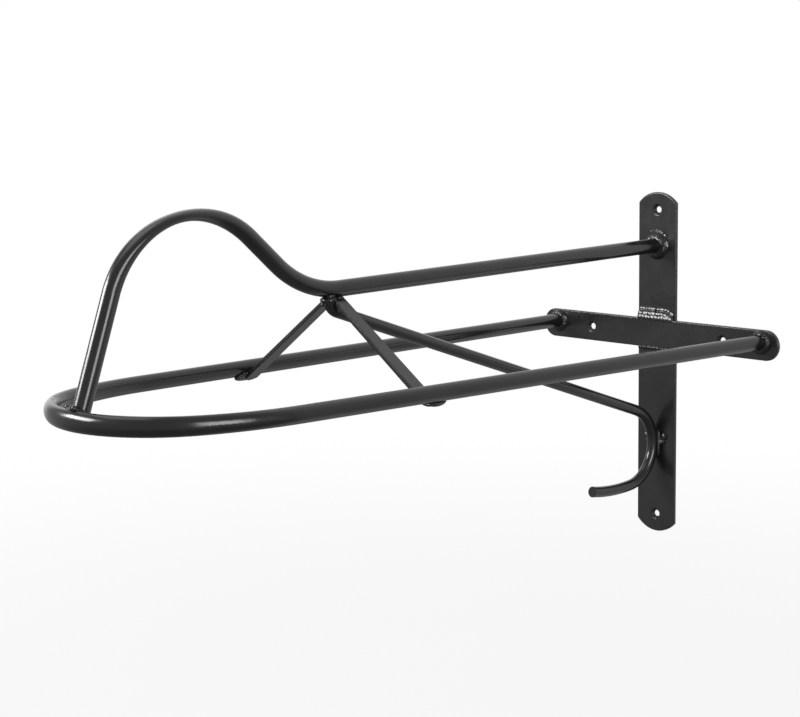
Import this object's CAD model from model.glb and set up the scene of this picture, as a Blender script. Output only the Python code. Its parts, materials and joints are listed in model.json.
import json
import math
import random

import bmesh
import bpy
from mathutils import Matrix, Vector, noise
from mathutils.bvhtree import BVHTree


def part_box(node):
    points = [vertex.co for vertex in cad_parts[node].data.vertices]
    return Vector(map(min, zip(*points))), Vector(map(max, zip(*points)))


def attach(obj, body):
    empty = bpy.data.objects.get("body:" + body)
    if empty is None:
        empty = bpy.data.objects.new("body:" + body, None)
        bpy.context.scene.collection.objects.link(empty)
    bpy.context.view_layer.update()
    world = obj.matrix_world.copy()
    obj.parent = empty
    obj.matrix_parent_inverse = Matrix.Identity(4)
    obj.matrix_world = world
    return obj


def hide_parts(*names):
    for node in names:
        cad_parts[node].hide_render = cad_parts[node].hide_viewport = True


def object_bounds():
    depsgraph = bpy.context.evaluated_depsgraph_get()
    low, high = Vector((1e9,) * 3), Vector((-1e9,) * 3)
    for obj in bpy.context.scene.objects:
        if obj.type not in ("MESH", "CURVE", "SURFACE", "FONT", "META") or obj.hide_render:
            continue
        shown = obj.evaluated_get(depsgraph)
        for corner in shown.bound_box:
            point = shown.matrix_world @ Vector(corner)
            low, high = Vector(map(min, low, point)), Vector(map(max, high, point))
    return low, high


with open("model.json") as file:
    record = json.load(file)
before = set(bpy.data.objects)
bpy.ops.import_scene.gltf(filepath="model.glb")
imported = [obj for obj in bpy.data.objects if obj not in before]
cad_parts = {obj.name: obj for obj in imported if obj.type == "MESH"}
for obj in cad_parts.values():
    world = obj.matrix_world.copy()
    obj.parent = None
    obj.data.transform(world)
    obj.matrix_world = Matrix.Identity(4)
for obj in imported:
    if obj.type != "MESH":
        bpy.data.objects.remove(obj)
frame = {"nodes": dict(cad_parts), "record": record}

# Looks of a wall-mounted saddle rack: glossy black paint on tube, rod, flat bar and rippled welds, in
# a white studio.  Metres, in the frame's own axes: X along the wall, -Y away from it, Z up.

CAD_LOW, CAD_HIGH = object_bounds()
CENTRE = (CAD_LOW + CAD_HIGH) / 2
NODES = frame["nodes"]
MM = 0.001


# ---- node helpers -------------------------------------------------------------------------

class Nodes:
    """Short way to add shader nodes to one material, light or world."""

    def __init__(self, tree):
        self.tree = tree
        tree.nodes.clear()

    def add(self, kind, inputs=None, **settings):
        """New node; inputs are values or the output sockets of other nodes."""
        made = self.tree.nodes.new(kind)
        for key, value in settings.items():
            setattr(made, key, value)
        for key, value in (inputs or {}).items():
            if isinstance(value, bpy.types.NodeSocket):
                self.tree.links.new(value, made.inputs[key])
            else:
                made.inputs[key].default_value = value
        return made

    def math(self, operation, first, second=0.0):
        return self.add("ShaderNodeMath", {0: first, 1: second}, operation=operation).outputs[0]

    def noise(self, coords, scale, detail, rough=0.5):
        made = self.add("ShaderNodeTexNoise", {"Vector": coords, "Scale": scale, "Detail": detail,
                                               "Roughness": rough})
        return made.outputs["Fac"]

    def ramp(self, value, span, results=(0.0, 1.0)):
        """Smooth step from the first result to the second while the value crosses the span."""
        made = self.add("ShaderNodeMapRange", {"Value": value, "From Min": span[0], "From Max": span[1],
                                               "To Min": results[0], "To Max": results[1]},
                        interpolation_type="SMOOTHSTEP")
        return made.outputs["Result"]

    def blend(self, share, first, second):
        """Colour between two colours."""
        made = self.add("ShaderNodeMix", {"Factor": share}, data_type="RGBA")
        for key, value in ((6, first), (7, second)):
            if isinstance(value, bpy.types.NodeSocket):
                self.tree.links.new(value, made.inputs[key])
            else:
                made.inputs[key].default_value = (*value, 1.0)
        return made.outputs[2]


# ---- paint --------------------------------------------------------------------------------

def paint(name, colour, rough, peel, specks, edge_radius, soft_edges):
    """Glossy black paint: faint mottling, orange peel, dust specks, and thinner grey paint on edges."""
    material = bpy.data.materials.new(name)
    material.use_nodes = True
    n = Nodes(material.node_tree)
    place = n.add("ShaderNodeTexCoord").outputs["Object"]

    mottle = n.noise(place, scale=22.0, detail=3.0)
    grain = n.noise(place, scale=420.0, detail=2.0)
    cloud = n.noise(place, scale=60.0, detail=4.0, rough=0.6)

    # dust: the middles of a few of the cells
    cells = n.add("ShaderNodeTexVoronoi", {"Vector": place, "Scale": 110.0, "Randomness": 1.0},
                  feature="F1")
    middles = n.ramp(cells.outputs["Distance"], (0.035, 0.06), (1.0, 0.0))
    chosen = n.ramp(n.noise(place, scale=75.0, detail=0.0), (0.60, 0.64))
    speck = n.math("MULTIPLY", n.math("MULTIPLY", middles, chosen), specks)

    # edges: where a rounded-off normal differs from the true one
    true_normal = n.add("ShaderNodeNewGeometry").outputs["Normal"]
    eased = n.add("ShaderNodeBevel", {"Radius": edge_radius}, samples=8).outputs["Normal"]
    likeness = n.add("ShaderNodeVectorMath", {0: true_normal, 1: eased},
                     operation="DOT_PRODUCT").outputs["Value"]
    edge = n.ramp(likeness, (0.80, 0.995), (1.0, 0.0))
    worn = n.math("MULTIPLY", edge, n.ramp(cloud, (0.42, 0.62), (0.25, 1.0)))

    dark = tuple(0.78 * part for part in colour)
    thin = tuple(2.6 * part for part in colour)
    body = n.blend(n.ramp(mottle, (0.35, 0.65)), dark, colour)
    body = n.blend(n.math("MULTIPLY", worn, 0.55), body, thin)
    body = n.blend(n.math("MULTIPLY", speck, 0.5), body, thin)

    sheen = n.ramp(cloud, (0.3, 0.7), (rough * 0.85, rough * 1.2))
    sheen = n.math("ADD", sheen, n.math("MULTIPLY", worn, 0.10))

    # height: orange peel, dust, and paint gathered in small beads along the edges
    peeled = n.math("ADD", n.math("MULTIPLY", grain, peel), speck)
    beads = n.math("MULTIPLY", n.math("MULTIPLY", edge, n.noise(place, scale=700.0, detail=0.0)), 3.0)
    surface = n.add("ShaderNodeBump", {"Height": n.math("ADD", peeled, beads), "Strength": 0.5,
                                       "Distance": 0.06 * MM,
                                       "Normal": eased if soft_edges else true_normal})
    shader = n.add("ShaderNodeBsdfPrincipled", {"Base Color": body, "Roughness": sheen,
                                                "Normal": surface.outputs["Normal"]})
    n.add("ShaderNodeOutputMaterial", {"Surface": shader.outputs[0]})
    return material


TUBE_PAINT = paint("paint_tube", colour=(0.0090, 0.0094, 0.0096), rough=0.20, peel=0.22, specks=0.6,
                   edge_radius=0.5 * MM, soft_edges=False)
PLATE_PAINT = paint("paint_plate", colour=(0.0120, 0.0124, 0.0132), rough=0.24, peel=0.5, specks=1.0,
                    edge_radius=1.3 * MM, soft_edges=True)
WELD_PAINT = paint("paint_weld", colour=(0.0080, 0.0085, 0.0088), rough=0.20, peel=1.0, specks=1.0,
                   edge_radius=0.3 * MM, soft_edges=False)

PAINT_OF_SLOT = {"tube": TUBE_PAINT, "plate": PLATE_PAINT, "weld": WELD_PAINT}
for part in frame["record"]["subparts"]:
    NODES[part["node"]].data.materials.clear()
    NODES[part["node"]].data.materials.append(PAINT_OF_SLOT[part["material_slot"]])


# ---- welds --------------------------------------------------------------------------------

LEFT, RIGHT, UP, DOWN = Vector((-1, 0, 0)), Vector((1, 0, 0)), Vector((0, 0, 1)), Vector((0, 0, -1))
OUT, IN = Vector((0, -1, 0)), Vector((0, 1, 0))
GLINT = Vector((0.07, -0.96, 0.26)).normalized()  # roughly half-way from the camera to the key light
PITCH = 1.9 * MM  # from one puddle of a weld to the next
JITTER = (0.3, 0.7)  # place of a puddle within its pitch
HALF_LENGTH = 0.85  # half length of a puddle as a share of the pitch, so that puddles overlap
LEAN, LEVEL = (14, 30), (-7, 7)  # tilt of a puddle along the bead, degrees
SINK = 0.72  # depth of a puddle's middle under the CAD weld's skin, as a share of its half height
MELT_SIZE = 0.28 * MM  # voxel in which the puddles are melted together
DICE = random.Random(11)


class Bead:
    """Weld bead standing for one CAD weld: overlapping puddles melted into one lumpy skin."""

    def __init__(self, node, keep_core=True):
        self.node = node
        self.low, self.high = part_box(node)
        self.middle = (self.low + self.high) / 2
        self.mesh = bmesh.new()
        cad = bmesh.new()
        cad.from_mesh(NODES[node].data)
        self.tree = BVHTree.FromBMesh(cad)
        cad.free()
        if keep_core:
            self.mesh.from_mesh(NODES[node].data)

    def puddle(self, place, along, out, length, width, height, lean):
        """Flattened drop of metal, leaning along the bead; the sizes are half sizes."""
        across = out.cross(along).normalized()
        along = across.cross(out).normalized()
        turn = Matrix((along, across, out)).transposed().to_4x4()
        turn.translation = place
        scale = [size * DICE.uniform(0.90, 1.12) for size in (length, width, height)]
        tip = Matrix.Rotation(math.radians(DICE.uniform(*lean)), 4, "Y")
        bmesh.ops.create_icosphere(self.mesh, subdivisions=3, radius=1.0,
                                   matrix=turn @ tip @ Matrix.Diagonal((*scale, 1.0)))

    def sunk_puddle(self, guide, along, width, height, pitch=PITCH, sink=SINK):
        """Puddle on the CAD weld's skin where it is nearest to a guide point, partly sunk in it."""
        near, skin, *_ = self.tree.find_nearest(guide)
        place = near - skin * height * sink
        self.puddle(place, along, skin, pitch * HALF_LENGTH, width, height, LEAN)

    def run(self, points, facing, width, height, pitch=PITCH, sink=SINK):
        """Row of puddles lying on the CAD weld's skin, on the side that a path's points face."""
        offset = facing * 4 * MM
        for spot, along in self.steps(points, pitch):
            self.sunk_puddle(spot + offset, along, width, height, pitch, sink)

    def ring(self, radius, lift, width, height, axis=OUT):
        """Closed row of puddles round the weld; lift leans its guide points along the axis."""
        side = axis.orthogonal().normalized()
        count = round(2 * math.pi * radius / PITCH)
        for step in range(count):
            angle = 2 * math.pi * (step + DICE.uniform(*JITTER)) / count
            spoke = Matrix.Rotation(angle, 3, axis) @ side
            guide = self.middle + (spoke + axis * lift) * (radius + 12 * MM)
            self.sunk_puddle(guide, axis.cross(spoke), width, height)

    def crest(self, points, width, height, pitch):
        """Row of flat puddles at the points of a path, turned to catch the key light."""
        for spot, along in self.steps(points, pitch):
            self.puddle(spot, along, GLINT, pitch * HALF_LENGTH, width, height, LEVEL)

    def steps(self, points, pitch):
        """Evenly spread, slightly uneven places along a path, with its direction at each."""
        for first, last in zip(points[:-1], points[1:]):
            count = max(1, round((last - first).length / pitch))
            for step in range(count):
                yield (first.lerp(last, (step + DICE.uniform(*JITTER)) / count),
                       (last - first).normalized())

    def finish(self, roughness=0.16 * MM):
        """Melt the puddles together, roughen the skin and hang it in the frame."""
        data = bpy.data.meshes.new(self.node + "_bead")
        self.mesh.to_mesh(data)
        self.mesh.free()
        piece = bpy.data.objects.new(self.node + "_bead", data)
        bpy.context.scene.collection.objects.link(piece)
        melt = piece.modifiers.new("melt", "REMESH")
        melt.mode = "VOXEL"
        melt.voxel_size = MELT_SIZE
        skin = bmesh.new()
        skin.from_object(piece, bpy.context.evaluated_depsgraph_get())
        piece.modifiers.clear()
        bmesh.ops.smooth_vert(skin, verts=skin.verts, factor=0.5, use_axis_x=True, use_axis_y=True,
                              use_axis_z=True)
        skin.normal_update()
        for vert in skin.verts:
            bumps = noise.noise(vert.co / (1.7 * MM)) + 0.5 * noise.noise(vert.co / (0.8 * MM))
            vert.co += vert.normal * bumps * roughness
        for face in skin.faces:
            face.smooth = True
        skin.to_mesh(data)
        skin.free()
        data.materials.append(WELD_PAINT)
        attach(piece, "root")
        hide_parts(self.node)


def arc(middle, radius, start, stop, count):
    """Points on part of a circle parallel to the wall; angles in degrees from the right, upwards."""
    angles = [math.radians(start + (stop - start) * step / count) for step in range(count + 1)]
    return [middle + (RIGHT * math.cos(angle) + UP * math.sin(angle)) * radius for angle in angles]


def turned_down(left, turn, right, depth, level, drop):
    """Level path from the left that turns down after the turn, towards its right end."""
    return [Vector((left, depth, level)), Vector((turn, depth, level)),
            Vector((right, depth, level - drop))]


def rail_weld():
    """Weld round the rail on the back plate, with a ridge on its upper edge and one at its right."""
    bead = Bead("weld_rail_wall")
    radius = (bead.high.x - bead.low.x) / 2
    bead.ring(radius, lift=0.9, width=2.9 * MM, height=2.2 * MM)
    toe = Vector((bead.middle.x, bead.high.y - 0.5 * MM, bead.middle.z))
    upper = arc(toe, radius + 0.5 * MM, 118, 38, 6)
    bead.crest(upper, width=1.6 * MM, height=0.8 * MM, pitch=3.4 * MM)
    right = arc(toe + OUT * 2.4 * MM, radius - 3 * MM, 40, 4, 2)
    bead.crest(right, width=1.5 * MM, height=0.9 * MM, pitch=3.2 * MM)
    bead.finish()


def hoop_weld(side, start, stop):
    """Weld round an end of the hoop, with a ridge between two angles in degrees."""
    bead = Bead("weld_hoop_" + side)
    radius = (bead.high.x - bead.low.x) / 2
    bead.ring(radius, lift=0.9, width=2.2 * MM, height=1.8 * MM)
    face = Vector((bead.middle.x, bead.high.y - 1.8 * MM, bead.middle.z))
    ridge = arc(face, radius - 1.6 * MM, start, stop, 3)
    bead.crest(ridge, width=1.5 * MM, height=0.9 * MM, pitch=3.2 * MM)
    bead.finish()


def cross_top_weld():
    """Two thick rows on the cross plate's upper edge and a thin ridge above, turned down at the right."""
    bead = Bead("weld_cross_top", keep_core=False)
    left, turn, right = bead.low.x + 1 * MM, bead.high.x - 7 * MM, bead.high.x
    for rise, depth, drop in ((1.2 * MM, 0.6 * MM, 0.5 * MM), (4.2 * MM, 1.2 * MM, 4.2 * MM)):
        front, level = bead.low.y + depth, bead.low.z + rise
        row = turned_down(left, turn - 2 * MM, right - 1 * MM, front, level, drop)
        bead.crest(row, width=3.0 * MM, height=0.9 * MM, pitch=3.6 * MM)
    ridge = turned_down(left, turn, right, bead.high.y - 0.4 * MM, bead.low.z + 8.4 * MM, 4 * MM)
    bead.crest(ridge, width=2.1 * MM, height=0.8 * MM, pitch=3.0 * MM)
    bead.finish(0.03 * MM)


def cross_bottom_weld():
    """One pass below the cross plate."""
    bead = Bead("weld_cross_bottom", keep_core=False)
    level = bead.high.z - 1.5 * MM
    path = [Vector((bead.low.x + 1 * MM, bead.low.y, level)),
            Vector((bead.high.x - 1 * MM, bead.low.y, level))]
    bead.run(path, OUT, width=2.2 * MM, height=2.0 * MM)
    bead.finish()


def nose_weld():
    """Ring of weld round the foot of the leg, on the nose of the hoop."""
    bead = Bead("weld_nose")
    bead.ring((bead.high.x - bead.low.x) / 2, lift=0.25, width=2.4 * MM, height=2.0 * MM, axis=UP)
    bead.finish()


def hook_weld(side, outward):
    """Weld along the line where the hook rod lies on the back plate: thickest in its upper half."""
    bead = Bead("weld_hook_" + side)
    half = UP * (bead.high.z - bead.low.z) / 2
    path = [bead.middle - half * 0.9, bead.middle + half * 0.9]
    bead.run(path, (outward + OUT).normalized(), width=1.8 * MM, height=1.5 * MM)
    start = Vector((outward.x * 7 * MM, bead.high.y - 1 * MM, bead.middle.z))
    end = start + half * 0.7 + outward * 3.5 * MM
    bead.crest([start, end], width=3.0 * MM, height=1.2 * MM, pitch=4.0 * MM)
    bead.finish(0.03 * MM)


def strut_top_weld(side, outward):
    """Small weld in the corner between the top of a strut and the rail."""
    bead = Bead("weld_strut_top_" + side, keep_core=False)
    corner = Vector((bead.low.x if side == "right" else bead.high.x, bead.middle.y, bead.high.z))
    corner += outward * 1.6 * MM - UP * 1.2 * MM
    half = IN * (bead.high.y - bead.low.y) / 2
    bead.run([corner - half * 0.7, corner + half * 0.7], UP, width=1.7 * MM, height=1.3 * MM, sink=0.9)
    bead.finish(0.08 * MM)


def lump_weld(node, facing, width, height):
    """Short straight weld along Y, nearly as long as the CAD weld."""
    bead = Bead(node)
    half = IN * ((bead.high.y - bead.low.y) / 2 - 1.2 * MM)
    bead.run([bead.middle - half, bead.middle + half], facing, width, height, pitch=1.8 * MM)
    bead.finish()


rail_weld()
hoop_weld("left", start=60, stop=-30)
hoop_weld("right", start=20, stop=-40)
cross_top_weld()
cross_bottom_weld()
nose_weld()
lump_weld("weld_rod_top", DOWN, width=2.2 * MM, height=1.8 * MM)
hook_weld("left", LEFT)
hook_weld("right", RIGHT)
for side, outward in (("left", LEFT), ("right", RIGHT)):
    strut_top_weld(side, outward)
    lump_weld("weld_strut_foot_" + side, (UP - outward).normalized(), width=2.2 * MM, height=1.5 * MM)


# ---- studio -------------------------------------------------------------------------------

def direction(azimuth, elevation):
    """Unit vector towards a compass place: azimuth 0 is in front of the wall, 90 to the right."""
    a, e = math.radians(azimuth), math.radians(elevation)
    return Vector((math.sin(a) * math.cos(e), -math.cos(a) * math.cos(e), math.sin(e)))


def softbox(name, azimuth, elevation, distance, wide, high, radiance):
    """Rectangular light; wide and high are angles seen from the rack, in degrees."""
    light = bpy.data.lights.new(name, "AREA")
    light.shape = "RECTANGLE"
    light.size = 2 * distance * math.tan(math.radians(wide / 2))
    light.size_y = 2 * distance * math.tan(math.radians(high / 2))
    light.energy = radiance * math.pi * light.size * light.size_y
    lamp = bpy.data.objects.new(name, light)
    towards = direction(azimuth, elevation)
    lamp.location = CENTRE + towards * distance
    lamp.rotation_mode = "QUATERNION"
    lamp.rotation_quaternion = towards.to_track_quat("Z", "Y")
    lamp.visible_camera = False
    bpy.context.scene.collection.objects.link(lamp)


softbox("key", azimuth=-39, elevation=22, distance=2.2, wide=30, high=15, radiance=21.0)
softbox("side", azimuth=79, elevation=14, distance=2.2, wide=22, high=34, radiance=8.5)
softbox("overhead", azimuth=-52, elevation=62, distance=2.4, wide=44, high=26, radiance=1.3)


def studio_world():
    """White to the camera; the paint sees a bright backdrop behind the wall and dimmer air in front."""
    world = bpy.data.worlds.new("studio")
    bpy.context.scene.world = world
    world.use_nodes = True
    n = Nodes(world.node_tree)
    ray = n.add("ShaderNodeTexCoord").outputs["Generated"]
    across, inward, upward = n.add("ShaderNodeSeparateXYZ", {0: ray}).outputs

    # share of the backdrop, which faces the rack from behind the wall and a little to the left
    turned = n.math("SUBTRACT", inward, n.math("MULTIPLY", across, 0.28))
    backdrop = n.ramp(turned, (0.25, 0.55))

    # the backdrop is white above, brightest at the far left, and dims below, most at the left;
    # the air in front is grey and dims downwards
    above = n.ramp(upward, (-0.35, 0.03))
    below = n.math("MULTIPLY", n.ramp(across, (-0.6, 0.2), (0.3, 0.85)), n.math("SUBTRACT", 1.0, above))
    behind = n.math("MULTIPLY", n.ramp(across, (-0.92, -0.6), (1.3, 1.0)), n.math("ADD", above, below))
    front = n.ramp(upward, (-0.65, -0.15), (0.24, 0.5))
    seen = n.math("ADD", n.math("MULTIPLY", front, n.math("SUBTRACT", 1.0, backdrop)),
                  n.math("MULTIPLY", backdrop, behind))

    camera_ray = n.add("ShaderNodeLightPath").outputs["Is Camera Ray"]
    level = n.add("ShaderNodeMix", {0: camera_ray, 2: seen, 3: 1.0}).outputs[0]
    sky = n.add("ShaderNodeBackground", {"Color": (1.0, 1.0, 1.0, 1.0), "Strength": level})
    n.add("ShaderNodeOutputWorld", {"Surface": sky.outputs[0]})


studio_world()


def floor():
    """Pale studio floor that fades into the white backdrop; the paint doesn't reflect it."""
    radius, below_rack = 6.0, 0.12
    mesh = bmesh.new()
    bmesh.ops.create_circle(mesh, cap_ends=True, segments=64, radius=radius)
    data = bpy.data.meshes.new("floor")
    mesh.to_mesh(data)
    mesh.free()
    ground = bpy.data.objects.new("floor", data)
    ground.location = (CENTRE.x, CENTRE.y, CAD_LOW.z - below_rack)
    bpy.context.scene.collection.objects.link(ground)
    ground.visible_glossy = False
    ground.visible_diffuse = False
    material = bpy.data.materials.new("pale_floor")
    material.use_nodes = True
    n = Nodes(material.node_tree)
    place = n.add("ShaderNodeTexCoord").outputs["Object"]
    away = n.add("ShaderNodeVectorMath", {0: place}, operation="LENGTH").outputs["Value"]
    fade = n.ramp(away, (0.3, 1.4), (0.85, 1.0))
    paper = n.add("ShaderNodeBsdfDiffuse", {"Color": (0.40, 0.40, 0.40, 1.0)})
    white = n.add("ShaderNodeEmission", {"Strength": 1.0})
    mixed = n.add("ShaderNodeMixShader", {0: fade, 1: paper.outputs[0], 2: white.outputs[0]})
    n.add("ShaderNodeOutputMaterial", {"Surface": mixed.outputs[0]})
    data.materials.append(material)


floor()


# ---- camera -------------------------------------------------------------------------------

def camera():
    """Three-quarter view from the right, a little above, slightly rolled."""
    azimuth, elevation, roll = 47.73, 8.44, math.radians(-0.86)
    distance, lens, sensor = 1.407, 79.816, 36.0
    aim = CENTRE + Vector((-20.93, 13.61, 28.80)) * MM
    back = direction(azimuth, elevation)
    level = (-back).cross(UP).normalized()
    up = level.cross(-back)
    right = level * math.cos(roll) + up * math.sin(roll)
    top = -level * math.sin(roll) + up * math.cos(roll)
    data = bpy.data.cameras.new("camera")
    data.lens, data.sensor_width = lens, sensor
    data.clip_start, data.clip_end = 0.05, 50.0
    eye = bpy.data.objects.new("camera", data)
    pose = Matrix((right, top, back)).transposed().to_4x4()
    pose.translation = aim + back * distance
    eye.matrix_world = pose
    bpy.context.scene.collection.objects.link(eye)
    bpy.context.scene.camera = eye


camera()
bpy.context.scene.view_settings.view_transform = "Standard"
